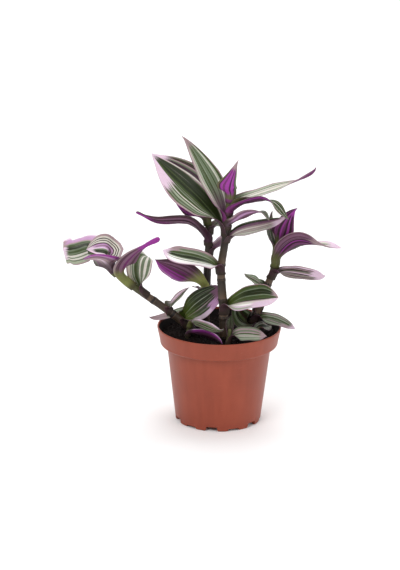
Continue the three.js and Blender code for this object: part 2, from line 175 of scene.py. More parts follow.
# Stems: points of the middle line, radii at foot and top, heights of the joints,
# and the height where the bark turns green
STEMS = {
    "main": dict(
        points=[(4, -18, 58), (4, -18, 85), (4, -18, 112), (2, -18, 136),
                (1, -18, 158), (4, -18, 182), (6, -18, 203), (9, -18, 228)],
        radii=(4.7, 3.2), joints=[88, 108, 126, 146, 161], green_from=200),
    "back": dict(
        points=[(-15, 14, 58), (-14, 14, 85), (-13, 14, 116), (-12, 14, 146),
                (-11, 14, 180), (-13, 14, 206)],
        radii=(4.6, 3.2), joints=[92, 112, 150], green_from=184),
    "left": dict(
        points=[(-8, 5, 66), (-22, 4, 84), (-39, 2, 100), (-58, 0, 115),
                (-79, -1, 130), (-98, -2, 145), (-111, -4, 160)],
        radii=(4.5, 2.8), joints=[91, 104.5, 119], green_from=130),
    "right": dict(
        points=[(20, 8, 62), (27, 8, 84), (38, 8, 110), (46, 8, 132),
                (52, 8, 150), (56, 8, 172), (61, 8, 190)],
        radii=(4.3, 2.9), joints=[104, 118, 134], green_from=150),
    "young": dict(
        points=[(7, -34, 68), (8, -34, 86), (10, -34, 102)],
        radii=(2.4, 1.8), joints=[87.5], green_from=90),
    "low": dict(
        points=[(-33, -14, 68), (-31, -14, 86), (-28, -14, 102)],
        radii=(2.2, 1.8), joints=[], green_from=90),
    "side": dict(
        points=[(34, -11, 68), (34, -9, 86), (35, -7, 95)],
        radii=(2.2, 1.8), joints=[], green_from=88),
}


def leaf_from(height, width, middle, tip, face, **special):
    """A leaf from its height up the stem, its width, two points of its midrib and its face.

    Face is the way the upper side looks. The rest is as on most leaves where it isn't
    given: a face at the tip, a late point of the midrib, where the blade is widest and how
    it tapers, a blunt tip's width, how deep the blade is cupped and by when it has opened,
    how far it rises along the stem first, and the sheath's length.
    """
    usual = dict(tip_face=face, late=None, widest=0.42, taper=1.8, tip_width=0,
                 cup=18.0, opened=OPENED_AT, rise=0.22, sheath=4.5)
    return dict(height=height, width=width, middle=middle, tip=tip, face=face) | usual | special


# Leaves, counted up each stem, in millimetres
LEAVES = {
    "main_leaf_01": leaf_from(
        112, 31, (29, -33, 132.5), (55, -41, 136), (0.1, -0.6, 0.8),
        tip_face=(0.5, -0.7, 0.5), widest=0.5, taper=2.6),
    "main_leaf_02": leaf_from(
        152, 30, (-23, -30, 169.5), (-54, -32, 179), (0, -0.4, 0.92),
        tip_face=(-0.2, -0.5, 0.85), widest=0.28, taper=3.4, sheath=3.5),
    "main_leaf_03": leaf_from(
        183, 20, (28, -17, 195.5), (62, -25, 210.5), (0, -0.45, 0.9),
        cup=30, opened=0.15, sheath=2),
    "main_leaf_04": leaf_from(
        189, 43, (-31.5, -2, 234.5), (-66, 14, 261), (-0.1, -0.85, 0.5),
        tip_face=(0, -0.7, 0.7), widest=0.5, sheath=4.2),
    "main_leaf_05": leaf_from(
        195.6, 18, (24, -29, 213.5), (45, -36, 210), (-0.2, 0.6, 0.8),
        tip_face=(0.9, -0.5, 0.3), late=(38, -33, 217), taper=4, rise=0.1),
    "main_leaf_06": leaf_from(
        209.2, 18, (23, -26, 224), (63, -36, 211), (-0.3, 0.5, 0.8),
        tip_face=(0.4, -0.9, 0.3), late=(45, -31, 227.5), taper=1.8, rise=0.04),
    "main_leaf_07": leaf_from(
        202.2, 24, (-14.5, -7, 249.5), (-37.5, 0, 281), (0.3, -0.85, 0.3),
        taper=1.3, opened=0.18, sheath=3.4),
    "main_leaf_08": leaf_from(
        215.5, 19, (50, -10, 234), (89, -6, 254), (-0.1, -0.2, 0.97),
        tip_face=(0, 0.8, 0.6), rise=0.1),
    "main_leaf_09": leaf_from(
        221.8, 19.5, (5.5, -25, 239), (15.5, -24, 264.5), (0, 0.98, 0.2),
        late=(10.5, -25, 252.5), widest=0.36, taper=0.72),
    "back_leaf_01": leaf_from(97, 13, (-42, 18, 100), (-68, 11, 99), (0, -0.35, 0.94)),
    "back_leaf_02": leaf_from(
        124, 31, (-38, 1, 147), (-62, -6, 162), (0.1, 0.9, 0.4),
        opened=0.22, rise=0.12),
    "back_leaf_03": leaf_from(160, 14, (6, 20, 176), (18, 22, 179), (0, -0.3, 0.9)),
    "back_leaf_04": leaf_from(
        171, 17, (-30, 4, 197), (-81, 4, 206), (0.2, 0.75, 0.65),
        tip_face=(0, 0.8, 0.5), late=(-60, 4, 198), widest=0.25, tip_width=4, rise=0.1),
    "back_leaf_05": leaf_from(182, 15, (4, 14, 196), (18, 14, 196), (0, -0.3, 0.9)),
    "back_leaf_06": leaf_from(191, 16, (-30, 9, 207), (-42, 5, 215), (0, 0.9, 0.4)),
    "back_leaf_07": leaf_from(197, 22, (-17, 36, 218), (-22, 58, 224), (0, -0.5, 0.85)),
    "back_leaf_08": leaf_from(
        116, 20, (-17, 36, 122), (-18, 54, 112), (0, -0.2, 0.97),
        tip_face=(0, 0.5, 0.8)),
    "left_leaf_01": leaf_from(
        157.3, 36, (-126, 4, 173), (-150.4, -1.5, 169), (0, -0.5, 0.85),
        tip_face=(0, -0.7, 0.7), late=(-139, -1, 171.5), taper=9, tip_width=29, cup=-42, opened=0.4),
    "left_leaf_02": leaf_from(
        151, 27, (-105.5, -12, 172.5), (-127, -16, 174), (0.2, -0.6, 0.75),
        tip_face=(-0.2, -0.8, 0.5), taper=2.4, sheath=3.8),
    "left_leaf_03": leaf_from(
        145.6, 25, (-109, -28.5, 167), (-129, -37, 170), (0, 0.8, 0.6),
        widest=0.3, sheath=3.6),
    "left_leaf_04": leaf_from(
        132.8, 29, (-84, -17.5, 168), (-57, -26, 188), (-0.3, 0.9, 0.3),
        widest=0.1, taper=0.7, tip_width=5.6, sheath=8),
    "left_leaf_05": leaf_from(
        123.1, 25, (-78, 4, 150.5), (-69.5, 20, 157), (0, -0.95, 0.2),
        tip_face=(0, -0.3, 0.95), widest=0.6, taper=2.6),
    "left_leaf_06": leaf_from(
        107, 8, (-40, -3, 124), (-29, -5, 134), (-0.5, -0.6, 0.6),
        opened=0.15, rise=0.05, sheath=2.5),
    "left_leaf_07": leaf_from(92.6, 27, (-13, -3, 121), (-3, 0, 137), (-0.2, -0.95, 0.2), rise=0.12),
    "low_leaf_01": leaf_from(
        88, 14, (-14, -27, 94), (2.5, -39, 88.5), (0, 0.9, 0.4),
        opened=0.3, rise=0.05, sheath=3),
    "low_leaf_02": leaf_from(96, 13, (-12, -28, 102), (4, -32, 101.5), (0, -0.3, 0.95)),
    "right_leaf_01": leaf_from(95, 17, (54.5, 0, 99.8), (73, -12, 95.5), (0, -0.4, 0.9)),
    "right_leaf_02": leaf_from(89.5, 20, (22, -4, 104), (17, -4, 119), (0, -1, 0.1), rise=0.05),
    "right_leaf_03": leaf_from(125, 12, (33, 2, 140), (24, -2, 148), (0, -0.5, 0.85)),
    "right_leaf_04": leaf_from(140, 18, (76, -8, 150), (100, -18, 151.5), (0, -0.5, 0.9), taper=4),
    "right_leaf_05": leaf_from(
        151, 26, (72, -6, 179.5), (115, -12, 177), (0, 0.7, 0.55),
        tip_face=(0.1, -0.6, 0.8), late=(92, -9, 179.5), widest=0.32, taper=2.6, cup=40),
    "right_leaf_06": leaf_from(163, 18, (49, 14, 182), (50, 18, 205), (0.9, -0.5, 0)),
    "right_leaf_07": leaf_from(
        171, 22, (61, -2, 196), (72.5, -6, 214), (0, 0.9, 0.3),
        widest=0.36, taper=1.3),
    "right_leaf_08": leaf_from(
        178.2, 18, (62, 26, 192), (58, 44, 184), (0, -0.2, 0.97),
        tip_face=(0, 0.6, 0.8)),
    "right_leaf_09": leaf_from(
        106, 19, (32, 28, 116), (28, 47, 110), (0, -0.2, 0.97),
        tip_face=(0, 0.5, 0.8)),
    "side_leaf_01": leaf_from(88.5, 14, (43, -1, 94), (50, 8, 92), (0, -0.5, 0.85)),
    "young_leaf_01": leaf_from(88, 21, (27, -33, 96), (45, -33.5, 95), (0, -0.4, 0.9), taper=2.4),
    "young_leaf_02": leaf_from(95, 8, (10, -30, 107), (11, -29, 114), (0, -0.9, 0.4)),
}

# Colours as they look in daylight, as red, green and blue from 0 to 255
COLOURS = {
    "forest": (26, 36, 6),
    "green": (56, 70, 34),
    "sage": (99, 111, 87),
    "mint": (150, 158, 138),
    "cream": (200, 196, 186),
    "white": (234, 231, 227),
    "pink": (208, 184, 202),
    "lilac": (176, 134, 174),
    "rose": (152, 130, 134),
    "mauve": (115, 80, 103),
    "dusk": (76, 46, 62),
    "purple": (101, 40, 91),
    "magenta": (142, 52, 140),
    "plum": (48, 19, 36),
    "bark": (45, 33, 26),
    "olive": (80, 84, 42),
    "grass": (78, 94, 32),
    "sprout": (112, 117, 62),
    "lime": (150, 158, 88),
    "joint": (13, 8, 7),
    "joint edge": (18, 11, 9),
    "pale stem": (88, 70, 55),
    "brown stem": (58, 46, 35),
    "dull stem": (40, 31, 23),
    "dark stem": (28, 20, 15),
    "fresh stem": (66, 70, 36),
    "light streak": (80, 62, 50),
    "dark streak": (34, 24, 18),
    "deep clay": (129, 55, 34),
    "clay": (138, 60, 38),
    "light clay": (147, 66, 43),
    "scuff": (184, 112, 92),
    # painted shade for the pot's inside wall
    "painted_shade": (15, 7, 6),
    "wet peat": (10, 5, 4),
    "peat": (22, 13, 11),
    "dry peat": (32, 20, 16),
    "crumb": (42, 27, 22),
    "fibre": (56, 37, 28),
}

# Stripes across a side of a leaf: each colour reaches to the percentage before its name
STRIPES = {
    "centre": "6 sage, 11 cream, 17 sage, 22 cream, 27 mint, 34 green, 52 forest, 62 green, 68 mint, "
        "73 cream, 80 sage, 86 cream, 94 sage, 100 rose",
    "fine": "5 rose, 12 green, 16 cream, 24 sage, 28 mint, 37 green, 41 cream, 55 forest, 60 mint, "
        "68 green, 72 cream, 81 sage, 87 mint, 95 green, 100 rose",
    "half": "6 rose, 22 white, 28 mint, 32 cream, 42 sage, 60 forest, 64 sage, 76 green, 82 mint, "
        "93 sage, 100 rose",
    "dull": "8 sage, 14 rose, 24 sage, 30 mint, 44 green, 50 sage, 58 green, 64 rose, 78 sage, 86 mint, "
        "100 sage",
}

# Patches lie over the stripes: from and to a percentage across, and from one along.
# A base tints the blade's foot up to a percentage along, partly in the leaf's own colour and partly as
# painted shade near the crown, and sheath is the sheath's tint.
LOOKS = {
    "main_leaf_01": dict(
        stripes="3 rose, 14 green, 18 sage, 38 forest, 41 sage, 56 green, 60 forest, 63 rose, 71 cream, "
            "78 white, 86 pink, 96 mint, 100 pink",
        patches="66 100 58 pink, 0 40 90 rose", base="44 grass"),
    "main_leaf_02": dict(
        stripes="3 rose, 10 pink, 30 white, 34 sage, 38 white, 43 mint, 48 sage, 60 forest, 64 sage, "
            "76 green, 80 mint, 90 sage, 100 rose",
        patches="74 100 72 rose, 0 100 90 pink", base="26 grass"),
    "main_leaf_03": dict(
        stripes="5 sage, 14 forest, 26 mauve, 36 rose, 44 cream, 51 rose, 58 mint, 64 rose, 70 mint, "
            "76 cream, 84 sage, 92 cream, 100 rose",
        patches="30 100 74 pink, 0 100 88 pink", under=("rose", "mauve"), base="8 bark"),
    "main_leaf_04": dict(
        stripes="4 rose, 8 green, 12 sage, 15 green, 18 mint, 21 green, 24 cream, 28 green, 31 sage, "
            "39 green, 46 forest, 48 green, 66 forest, 68 green, 70 rose, 73 cream, 81 plum, 84 sage, "
            "87 rose, 94 bark, 98 sage, 100 rose",
        patches="0 30 67 pink, 70 100 86 pink, 0 100 95 pink", base="16 green"),
    "main_leaf_05": dict(
        stripes="dull",
        under_stripes="12 rose, 30 mauve, 46 dusk, 60 mauve, 78 lilac, 92 mauve, 100 rose",
        base="18 bark"),
    "main_leaf_06": dict(
        stripes="5 rose, 14 green, 18 sage, 34 forest, 38 cream, 52 green, 56 sage, 72 forest, 76 cream, "
            "88 green, 95 sage, 100 rose",
        under_stripes="8 rose, 28 mauve, 34 dusk, 42 mauve, 50 purple, 58 plum, 68 purple, 74 plum, "
            "84 purple, 92 magenta, 96 plum, 100 mauve",
        base="20 plum", under_base="20 purple", sheath="dusk"),
    "main_leaf_07": dict(
        stripes="4 rose, 9 mint, 13 cream, 17 rose, 24 mint, 30 green, 35 sage, 45 green, 60 sage, "
            "64 green, 76 sage, 80 cream, 86 mint, 95 green, 100 rose",
        patches="0 10 60 rose, 0 100 86 rose", base="42 purple", sheath="purple"),
    "main_leaf_08": dict(
        stripes="8 rose, 20 mint, 24 green, 34 cream, 38 sage, 58 cream, 61 green, 76 mint, 80 sage, "
            "94 cream, 100 rose",
        patches="0 100 66 rose", under=("purple", "mauve"), base="30 green"),
    "main_leaf_09": dict(
        stripes="fine",
        under_stripes="13 sage, 17 plum, 34 magenta, 41 plum, 62 magenta, 70 purple, 84 magenta, "
            "90 plum, 100 olive",
        under_patches="0 100 76 rose", base="8 olive", under_base="18 olive", sheath="purple"),
    "back_leaf_01": dict(stripes="dull", patches="0 100 62 rose", base="10 sage"),
    "back_leaf_02": dict(
        stripes="centre",
        under_stripes="10 plum, 24 dusk, 30 mauve, 42 dusk, 48 purple, 58 dusk, 64 magenta, 72 purple, "
            "88 magenta, 94 lilac, 100 magenta",
        base="30 olive", under_base="40 lime"),
    "back_leaf_03": dict(
        stripes="14 pink, 26 rose, 50 mauve, 60 dusk, 84 mauve, 100 rose", base="30 mauve"),
    "back_leaf_04": dict(
        stripes="fine",
        under_stripes="10 bark, 24 dusk, 36 mauve, 50 plum, 64 mauve, 78 dusk, 90 purple, 100 plum",
        under_patches="50 100 60 purple, 30 100 82 magenta", base="30 plum", under_base="44 plum"),
    "back_leaf_05": dict(stripes="dull", under=("dusk", "mauve"), base="34 rose"),
    "back_leaf_06": dict(
        stripes="fine",
        under_stripes="12 plum, 36 magenta, 44 plum, 58 magenta, 66 purple, 84 magenta, 90 plum, "
            "100 purple",
        base="20 plum"),
    "back_leaf_07": dict(stripes="half"),
    "back_leaf_08": dict(stripes="centre"),
    "left_leaf_01": dict(
        stripes="4 rose, 10 mint, 14 sage, 19 cream, 22 sage, 27 cream, 30 green, 33 sage, 41 green, "
            "45 sage, 55 forest, 61 green, 65 sage, 70 rose, 90 lilac, 100 pink",
        patches="60 90 93 rose, 14 60 93 pink", base="20 green"),
    "left_leaf_02": dict(
        stripes="14 pink, 32 forest, 38 sage, 44 pink, 50 lilac, 55 mauve, 61 lilac, 66 dusk, 72 cream, "
            "76 bark, 81 cream, 85 bark, 90 cream, 100 rose",
        patches="0 60 84 pink", base="40 mauve"),
    "left_leaf_03": dict(
        stripes="dull",
        under_stripes="14 magenta, 22 lilac, 36 mauve, 50 rose, 60 pink, 74 rose, 86 mauve, 93 sage, "
            "100 bark",
        base="30 mauve", under_base="66 plum"),
    "left_leaf_04": dict(
        stripes="fine",
        under_stripes="10 mauve, 28 dusk, 44 mauve, 58 purple, 74 mauve, 90 dusk, 100 rose",
        under_patches="0 100 66 magenta", under_base="20 sprout", sheath="sprout"),
    "left_leaf_05": dict(
        stripes="5 rose, 15 cream, 18 sage, 22 cream, 27 sage, 31 mint, 45 green, 51 sage, 57 cream, "
            "69 sage, 79 cream, 91 sage, 96 cream, 100 rose",
        base="26 olive"),
    "left_leaf_06": dict(
        stripes="18 rose, 38 pink, 56 rose, 66 sage, 84 forest, 100 mint", base="30 sage"),
    "left_leaf_07": dict(
        stripes="10 forest, 12 sage, 24 forest, 26 sage, 38 forest, 40 mint, 50 forest, 52 sage, "
            "60 forest, 62 rose, 76 forest, 78 sage, 88 forest, 94 rose, 100 lilac",
        patches="84 100 16 pink, 68 100 52 lilac, 32 100 70 mauve, 0 100 82 mauve", base="46 grass"),
    "low_leaf_01": dict(
        stripes="dull", under_stripes="50 plum, 64 dusk, 80 purple, 94 magenta, 100 pink",
        base="16 dusk"),
    "low_leaf_02": dict(
        stripes="12 pink, 24 rose, 40 sage, 52 green, 60 rose, 80 green, 90 sage, 100 green",
        under=("plum", "dusk"), base="20 sage"),
    "right_leaf_01": dict(stripes="dull", patches="50 100 62 rose, 0 100 85 pink", base="24 grass"),
    "right_leaf_02": dict(
        stripes="20 green, 30 sage, 44 forest, 56 green, 66 bark, 80 forest, 90 sage, 100 green",
        base="50 bark"),
    "right_leaf_03": dict(stripes="dull", base="30 green"),
    "right_leaf_04": dict(
        stripes="6 rose, 14 pink, 18 bark, 24 rose, 34 bark, 38 sage, 45 rose, 49 pink, 59 bark, "
            "64 rose, 70 sage, 75 rose, 82 bark, 88 rose, 96 sage, 100 rose",
        patches="0 60 72 pink, 0 100 84 pink", base="22 bark"),
    "right_leaf_05": dict(
        stripes="8 pink, 20 cream, 28 mint, 40 sage, 48 cream, 60 mint, 68 green, 80 mint, 100 pink",
        patches="0 100 84 pink",
        under_stripes="40 plum, 54 purple, 62 plum, 66 magenta, 72 plum, 82 dusk, 92 mauve, 97 dusk, "
            "100 rose",
        under_patches="60 100 62 rose, 0 100 88 pink", base="20 olive"),
    "right_leaf_06": dict(
        stripes="16 green, 22 sage, 40 forest, 46 rose, 60 green, 70 forest, 78 rose, 90 green, "
            "100 rose",
        base="40 forest"),
    "right_leaf_07": dict(
        stripes="fine",
        under_stripes="12 purple, 24 plum, 34 magenta, 44 plum, 54 purple, 60 magenta, 72 plum, "
            "86 purple, 100 plum",
        under_patches="0 60 80 magenta", base="30 plum"),
    "right_leaf_08": dict(stripes="half"),
    "right_leaf_09": dict(stripes="fine"),
    "side_leaf_01": dict(stripes="centre", base="60 forest"),
    "young_leaf_01": dict(
        stripes="10 sage, 20 rose, 30 sage, 38 rose, 46 green, 54 mint, 60 rose, 70 mint, 76 green, "
            "86 mint, 100 sage",
        patches="0 100 82 rose", base="30 green"),
    "young_leaf_02": dict(
        stripes="34 forest, 44 green, 70 forest, 76 green, 100 forest", base="90 bark", sheath="bark"),
}


def unit(vector):
    return vector / np.linalg.norm(vector)


def smooth(value):
    share = np.clip(value, 0.0, 1.0)
    return share * share * (3 - 2 * share)


def mix(a, b, share):
    return a + (b - a) * share


def perpendicular(vector, axis):
    return unit(vector - axis * np.dot(vector, axis))


class SmoothCurve:
    """A Catmull-Rom curve through points, from share 0 to 1."""

    def __init__(self, points):
        inner = np.array(points, float)
        first = 2 * inner[0] - inner[1]
        last = 2 * inner[-1] - inner[-2]
        self.points = np.vstack([first, inner, last])
        self.spans = len(inner) - 1

    def point(self, share):
        place = min(max(share, 0.0), 1.0) * self.spans
        span = min(int(place), self.spans - 1)
        t = place - span
        p0, p1, p2, p3 = self.points[span:span + 4]
        slope_in, slope_out = (p2 - p0) / 2, (p3 - p1) / 2
        bend = 3 * (p2 - p1) - 2 * slope_in - slope_out
        swing = 2 * (p1 - p2) + slope_in + slope_out
        return p1 + t * (slope_in + t * (bend + t * swing))

    def tangent(self, share):
        step = 1e-3
        return unit(self.point(min(share + step, 1)) - self.point(max(share - step, 0)))


class StemCurve(SmoothCurve):
    """A stem's curve, looked up by height, because a stem rises all the way."""

    def __init__(self, points):
        super().__init__(points)
        self.shares = np.linspace(0, 1, CURVE_SAMPLES)
        self.heights = np.array([self.point(share)[2] for share in self.shares])

    def share_at(self, height):
        return float(np.interp(height, self.heights, self.shares))


def bezier_through(start, first, middle, tip, shares):
    """A cubic curve with its first handle given, that passes middle halfway."""
    end_pull, handle_pull = 1 / 8, 3 / 8
    second = (middle - end_pull * start - handle_pull * first - end_pull * tip) / handle_pull
    t = shares[:, None]
    return ((1 - t) ** 3 * start + 3 * (1 - t) ** 2 * t * first
            + 3 * (1 - t) * t ** 2 * second + t ** 3 * tip)


def stem_radius(stem, share):
    return mix(*stem["radii"], share)


def blade_share(along, widest, taper):
    """Half width of a blade, as a share of its widest half width."""
    if along < widest:
        return 1 - (1 - BLADE_BASE_SHARE) * (1 - along / widest) ** 2
    return 1 - ((along - widest) / (1 - widest)) ** taper


def sheath_stations(leaf, stem, curve):
    """Places up the stem where the sheath wraps it, from its foot to its mouth."""
    middle = np.array(leaf["middle"], float)
    stations = []
    for row in range(SHEATH_ROWS + 1):
        share = row / SHEATH_ROWS
        place = curve.share_at(leaf["height"] + share * leaf["sheath"])
        axis, rising = curve.point(place), curve.tangent(place)
        outward = perpendicular(middle - axis, rising)
        snug = (stem_radius(stem, place) + SHEATH_GAP) * mix(1, SHEATH_FLARE, share)
        wrap = math.radians(mix(SHEATH_WRAP, SHEATH_MOUTH, share))
        stations.append({
            "centre": axis + outward * snug, "along": rising, "face": -outward,
            "wrap": wrap, "half": snug * wrap, "v": SHEATH_SPAN * (share - 1),
        })
    return stations


def midrib(start, rising, leaf):
    """Evenly spaced points and directions from the sheath's mouth to the tip."""
    middle, tip = np.array(leaf["middle"], float), np.array(leaf["tip"], float)
    length = np.linalg.norm(middle - start) + np.linalg.norm(tip - middle)
    lift = rising * length * leaf["rise"]
    shares = np.linspace(0, 1, CURVE_SAMPLES + 1)
    if leaf["late"]:
        curve = SmoothCurve([start, start + lift * NECK_SHARE, middle, leaf["late"], tip])
        line = np.array([curve.point(share) for share in shares])
    else:
        line = bezier_through(start, start + lift, middle, tip, shares)
    lengths = np.concatenate([[0], np.cumsum(np.linalg.norm(np.diff(line, axis=0), axis=1))])
    even = np.linspace(0, lengths[-1], BLADE_ROWS + 1)
    points = np.stack([np.interp(even, lengths, line[:, axis]) for axis in range(3)], -1)
    slopes = np.gradient(points, axis=0)
    return points, slopes / np.linalg.norm(slopes, axis=1)[:, None]


def leaf_stations(leaf, stem):
    """A leaf's rows: centre, directions, wrap in radians, half width and place along."""
    stations = sheath_stations(leaf, stem, StemCurve(stem["points"]))
    mouth = stations[-1]
    points, slopes = midrib(mouth["centre"], mouth["along"], leaf)
    faces = [mouth["face"], unit(np.array(leaf["face"], float))]
    faces.append(unit(np.array(leaf["tip_face"], float)))
    for row in range(1, BLADE_ROWS + 1):
        share = row / BLADE_ROWS
        part = 0 if share < 0.5 else 1
        towards = mix(faces[part], faces[part + 1], share * 2 - part)
        opened = smooth(share / leaf["opened"])
        width = max(leaf["width"] * blade_share(share, leaf["widest"], leaf["taper"]),
                    leaf["tip_width"] * blade_share(share, BLUNT_FROM, BLUNT_TAPER))
        stations.append({
            "centre": points[row], "along": slopes[row],
            "face": perpendicular(towards, slopes[row]),
            "wrap": math.radians(mix(SHEATH_MOUTH, leaf["cup"], opened)),
            "half": mix(mouth["half"], max(TIP_HALF_WIDTH, width / 2), opened),
            "v": share,
        })
    return stations


def colour(tone):
    """The renderer's linear colour of a named colour, or of a grey level from 0 to 1."""
    if not isinstance(tone, str):
        return tone, tone, tone, 1.0
    linear = [((value / 255 + 0.055) / 1.055) ** 2.4 if value > 10 else value / 3294.6
              for value in COLOURS[tone]]
    return *linear, 1.0


class Nodes:
    """Short ways to add and link the nodes of one tree."""

    def __init__(self, tree):
        self.tree = tree

    def add(self, kind, inputs=None, **settings):
        node = self.tree.nodes.new(kind)
        for name, value in settings.items():
            setattr(node, name, value)
        for key, value in (inputs or {}).items():
            if isinstance(value, bpy.types.NodeSocket):
                self.tree.links.new(value, node.inputs[key])
            else:
                node.inputs[key].default_value = value
        return node

    def first(self, kind, inputs=None, **settings):
        """The first output of a new node."""
        return self.add(kind, inputs, **settings).outputs[0]

    def math(self, operation, *values):
        return self.first("ShaderNodeMath", dict(enumerate(values)), operation=operation)

    def times(self, value, factor):
        return self.math("MULTIPLY", value, factor)

    def plus(self, base, value, amount):
        """Base with an amount of value added."""
        return self.math("MULTIPLY_ADD", value, amount, base)

    def sway(self, base, grain, amount):
        """Base moved to and fro by a grain."""
        return self.plus(base, self.math("SUBTRACT", grain, 0.5), amount)

    def between(self, factor, first, second):
        return self.first("ShaderNodeMix", {0: factor, 2: first, 3: second})

    def step(self, value, low, high):
        """0 below low, 1 above high, and smooth between them."""
        inputs = {0: value, 1: low, 2: high, 3: 0.0, 4: 1.0}
        return self.first("ShaderNodeMapRange", inputs, interpolation_type="SMOOTHSTEP")

    def blend(self, factor, first, second, mode="MIX"):
        inputs = {0: factor, 6: first, 7: second}
        node = self.add("ShaderNodeMix", inputs, data_type="RGBA", blend_type=mode)
        return node.outputs[2]

    def tint(self, base, mask, amount, tone, mode="MIX"):
        """Base with an amount of a named colour where the mask is."""
        return self.blend(self.times(mask, amount), base, colour(tone), mode)

    def vector(self, x, y, z=0.0):
        return self.first("ShaderNodeCombineXYZ", {0: x, 1: y, 2: z})

    def stretched(self, *scales):
        """Object places, drawn out by a scale for each axis."""
        place = self.add("ShaderNodeTexCoord").outputs["Object"]
        return self.first("ShaderNodeMapping", {"Vector": place, "Scale": scales or (1, 1, 1)})

    def grain(self, place, scale=1.0, detail=2.0, roughness=0.5):
        inputs = {"Vector": place, "Scale": scale, "Detail": detail, "Roughness": roughness}
        return self.first("ShaderNodeTexNoise", inputs)

    def number(self, name):
        return self.add("ShaderNodeAttribute", attribute_name=name).outputs["Fac"]

    def ramp(self, factor, stops):
        """Colours by name or grey level, each at its place on the way from 0 to 1."""
        node = self.add("ShaderNodeValToRGB", {0: factor})
        elements = node.color_ramp.elements
        while len(elements) < len(stops):
            elements.new(1.0)
        for element, (place, tone) in zip(elements, stops):
            element.position = place
            element.color = colour(tone)
        return node.outputs[0]

    def bump(self, height, strength, distance):
        inputs = {"Height": height, "Strength": strength, "Distance": distance}
        return self.first("ShaderNodeBump", inputs)


def socket_name(key):
    return key.replace("_", " ").title().replace("Ior", "IOR")


def new_material(name, **sockets):
    material = bpy.data.materials.new(name)
    material.use_nodes = True
    nodes = Nodes(material.node_tree)
    shader = material.node_tree.nodes["Principled BSDF"]
    for key, value in sockets.items():
        shader.inputs[socket_name(key)].default_value = value
    return material, nodes, shader


def connect(nodes, shader, **sockets):
    for key, value in sockets.items():
        nodes.tree.links.new(value, shader.inputs[socket_name(key)])


def marks_from(text):
    """Shares and a colour for each mark in a text like "66 100 58 pink, 0 40 90 rose"."""
    marks = [mark.split() for mark in text.split(",") if mark]
    return [(*(int(number) / 100 for number in numbers), tone) for *numbers, tone in marks]


def stripe_stops(stripes, softness):
    """Ramp stops for stripes with soft edges."""
    stops = [(0.0, stripes[0][1])]
    for (edge, name), (_, following) in zip(stripes, stripes[1:]):
        stops += [(edge - softness, name), (edge + softness, following)]
    return stops


def striped(nodes, across, text, softness=STRIPE_SOFTNESS):
    """Stripes across a blade; a ramp holds 32 stops, so long lists take two."""
    stripes = marks_from(STRIPES.get(text, text))
    if len(stripes) <= RAMP_STRIPES:
        return nodes.ramp(across, stripe_stops(stripes, softness))
    first = nodes.ramp(across, stripe_stops(stripes[:RAMP_STRIPES], softness))
    second = nodes.ramp(across, stripe_stops(stripes[RAMP_STRIPES - 1:], softness))
    seam = (stripes[RAMP_STRIPES - 2][0] + stripes[RAMP_STRIPES - 1][0]) / 2
    return nodes.blend(nodes.math("GREATER_THAN", across, seam), first, second)


def past(nodes, value, share, softness):
    """1 where a value is past a share, and 0 before it."""
    return nodes.step(value, share - softness, share + softness)


def patched(nodes, skin, text, marks):
    """Patches over the stripes, each from and to a share across and from one along."""
    for start, end, along, tone in marks_from(text):
        inside = past(nodes, marks.along, along, PATCH_SOFT_ALONG)
        if start > 0:
            begun = past(nodes, marks.across, start, PATCH_SOFT_ACROSS)
            inside = nodes.times(inside, begun)
        if end < 1:
            ended = past(nodes, marks.across, end, PATCH_SOFT_ACROSS)
            inside = nodes.times(inside, nodes.math("SUBTRACT", 1.0, ended))
        skin = nodes.blend(inside, skin, colour(tone))
    return skin


def leaf_marks(nodes, shift):
    """Places on a leaf, both plain and drifting, and its fine long veins."""
    uv = nodes.add("ShaderNodeUVMap", uv_map="leaf").outputs[0]
    places = nodes.add("ShaderNodeSeparateXYZ", {0: uv}).outputs
    u, v = places[0], places[1]
    across, scale = DRIFT_SCALES
    drift = nodes.grain(nodes.vector(nodes.times(u, across), v, shift), scale)
    lines = nodes.vector(nodes.times(u, VEIN_SCALE), v, shift)
    veins = nodes.grain(lines, detail=3.0, roughness=0.6)
    return SimpleNamespace(
        u=u, v=v, drift=drift, veins=veins,
        across=nodes.sway(u, drift, DRIFT), along=nodes.sway(v, veins, RAGGEDNESS),
        side=nodes.math("ABSOLUTE", nodes.plus(-1.0, u, 2.0)),
        pale=nodes.step(veins, 0.56, 0.72), dark=nodes.step(veins, 0.44, 0.28))


def upper_side(nodes, marks, look):
    """Stripes with pale and dark veins, patches and a foot tinted partly in its own colour and partly
    with painted shade.
    """
    skin = striped(nodes, marks.across, look["stripes"])
    skin = nodes.tint(skin, marks.pale, 0.3, "cream")
    skin = nodes.tint(skin, marks.dark, 0.35, "green", "MULTIPLY")
    skin = patched(nodes, skin, look.get("patches", ""), marks)
    # The foot's tint is partly the leaf's own colour and partly painted shade where the leaves crowd at
    # the crown
    reach, tone = marks_from(look.get("base", "16 olive"))[0]
    return nodes.tint(skin, nodes.step(marks.along, reach, -0.02), 0.8, tone)


def under_side(nodes, marks, look, sheath_tone):
    """Purple stripes, or a core and a rim, with veins, patches and a tinted foot."""
    if "under_stripes" in look:
        skin = striped(nodes, marks.across, look["under_stripes"], UNDER_SOFTNESS)
    else:
        core, rim = look.get("under", ("dusk", "purple"))
        spread = nodes.sway(marks.side, marks.drift, 1.2)
        skin = nodes.blend(nodes.step(spread, 0.15, 0.9), colour(core), colour(rim))
    skin = nodes.tint(skin, marks.pale, 0.35, "lilac")
    skin = nodes.tint(skin, marks.dark, 0.45, "plum")
    skin = patched(nodes, skin, look.get("under_patches", ""), marks)
    reach, tone = marks_from(look.get("under_base", f"24 {sheath_tone}"))[0]
    return nodes.tint(skin, nodes.step(marks.along, reach, reach / 3), 0.9, tone)


def sheath_skin(nodes, marks, tone):
    skin = nodes.tint(colour(tone), marks.dark, 0.6, "bark")
    skin = nodes.tint(skin, marks.pale, 0.1, "mint")
    return nodes.tint(skin, nodes.step(marks.v, -0.04, -0.11), 0.8, "bark")


